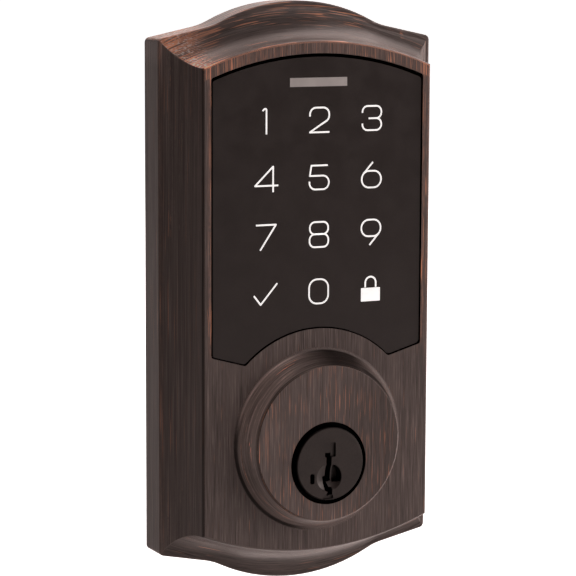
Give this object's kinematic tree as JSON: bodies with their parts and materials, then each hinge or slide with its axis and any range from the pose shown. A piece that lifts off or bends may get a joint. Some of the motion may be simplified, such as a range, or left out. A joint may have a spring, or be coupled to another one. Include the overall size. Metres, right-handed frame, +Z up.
{
  "type": "keypad deadbolt exterior",
  "caption": "Door lock exterior: cast escutcheon with an illuminated touch keypad above a raised boss that holds a turning key cylinder.",
  "frame": {"origin": "key cylinder's axis where it meets the door's outer face, midway between the two through-bolt posts", "axes": "+X right as seen from outside, +Y into the door along the cylinder's axis, +Z up"},
  "size_m": [0.0652, 0.0768, 0.127],
  "materials": {
    "bronze": "brushed aged bronze over zinc casting, copper worn through along the edges",
    "panel_black": "smooth dark panel, softly glossy",
    "status_grey": "translucent smoked light window",
    "clear_plastic": "clear moulded light guide",
    "board_green": "solder mask",
    "gold_copper": "gold-plated copper",
    "led_white": "LED package",
    "chip_black": "moulded epoxy",
    "black_plastic": "moulded nylon, fine texture",
    "rubber_black": "soft foam and rubber",
    "adhesive": "foam tape",
    "zinc_steel": "zinc-plated steel",
    "zinc_cast": "plain die-cast zinc",
    "plug_black": "blackened brass, satin",
    "brass": "machined brass",
    "spring_steel": "spring wire"
  },
  "bodies": {
    "casing": {"escutcheon_housing": "bronze", "touch_panel": "panel_black", "panel_adhesive": "adhesive", "status_lens": "status_grey", "light_guide": "clear_plastic", "keypad_board": "board_green", "touch_electrodes": "gold_copper", "legend_leds": "led_white", "status_leds": "led_white", "control_chips": "chip_black", "cable_socket": "black_plastic", "board_screws": "zinc_steel", "carrier_frame": "black_plastic", "carrier_screws": "zinc_steel", "back_plate": "zinc_steel", "back_plate_screws": "zinc_steel", "cable_grommet": "rubber_black", "door_gasket": "rubber_black", "cylinder_shell": "zinc_cast", "cylinder_screws": "zinc_steel", "mounting_posts": "zinc_steel", "drill_pins": "spring_steel"},
    "plug": {"key_plug": "plug_black", "spring_cover": "brass", "sidebar": "brass", "sidebar_springs": "spring_steel", "plug_clip": "spring_steel", "blade_cap": "brass", "tumbler_spring_1": "spring_steel", "tumbler_spring_2": "spring_steel", "tumbler_spring_3": "spring_steel", "tumbler_spring_4": "spring_steel", "tumbler_spring_5": "spring_steel"},
    "blade": {"torque_blade": "zinc_steel"},
    "tumbler_1": {"tumbler_pin_1": "brass", "tumbler_wafer_1": "brass"},
    "tumbler_2": {"tumbler_pin_2": "brass", "tumbler_wafer_2": "brass"},
    "tumbler_3": {"tumbler_pin_3": "brass", "tumbler_wafer_3": "brass"},
    "tumbler_4": {"tumbler_pin_4": "brass", "tumbler_wafer_4": "brass"},
    "tumbler_5": {"tumbler_pin_5": "brass", "tumbler_wafer_5": "brass"}
  },
  "joints": [
    {"name": "plug_turn", "type": "hinge", "parent": "casing", "child": "plug", "pos_m": [0, 0, 0], "axis": [0, 1, 0], "range_deg": [-90, 90]},
    {"name": "blade_lost_motion", "type": "hinge", "parent": "plug", "child": "blade", "pos_m": [0, 0, 0], "axis": [0, 1, 0], "range_deg": [0, 90]},
    {"name": "tumbler_1_lift", "type": "slide", "parent": "plug", "child": "tumbler_1", "axis": [0, 0, 1], "range_m": [0, 0.0018], "stiffness_N_per_m": 60, "springref_m": -0.001, "deforming": ["tumbler_spring_1"]},
    {"name": "tumbler_2_lift", "type": "slide", "parent": "plug", "child": "tumbler_2", "axis": [0, 0, 1], "range_m": [0, 0.0018], "stiffness_N_per_m": 60, "springref_m": -0.001, "deforming": ["tumbler_spring_2"]},
    {"name": "tumbler_3_lift", "type": "slide", "parent": "plug", "child": "tumbler_3", "axis": [0, 0, 1], "range_m": [0, 0.0018], "stiffness_N_per_m": 60, "springref_m": -0.001, "deforming": ["tumbler_spring_3"]},
    {"name": "tumbler_4_lift", "type": "slide", "parent": "plug", "child": "tumbler_4", "axis": [0, 0, 1], "range_m": [0, 0.0018], "stiffness_N_per_m": 60, "springref_m": -0.001, "deforming": ["tumbler_spring_4"]},
    {"name": "tumbler_5_lift", "type": "slide", "parent": "plug", "child": "tumbler_5", "axis": [0, 0, 1], "range_m": [0, 0.0018], "stiffness_N_per_m": 60, "springref_m": -0.001, "deforming": ["tumbler_spring_5"]}
  ]
}
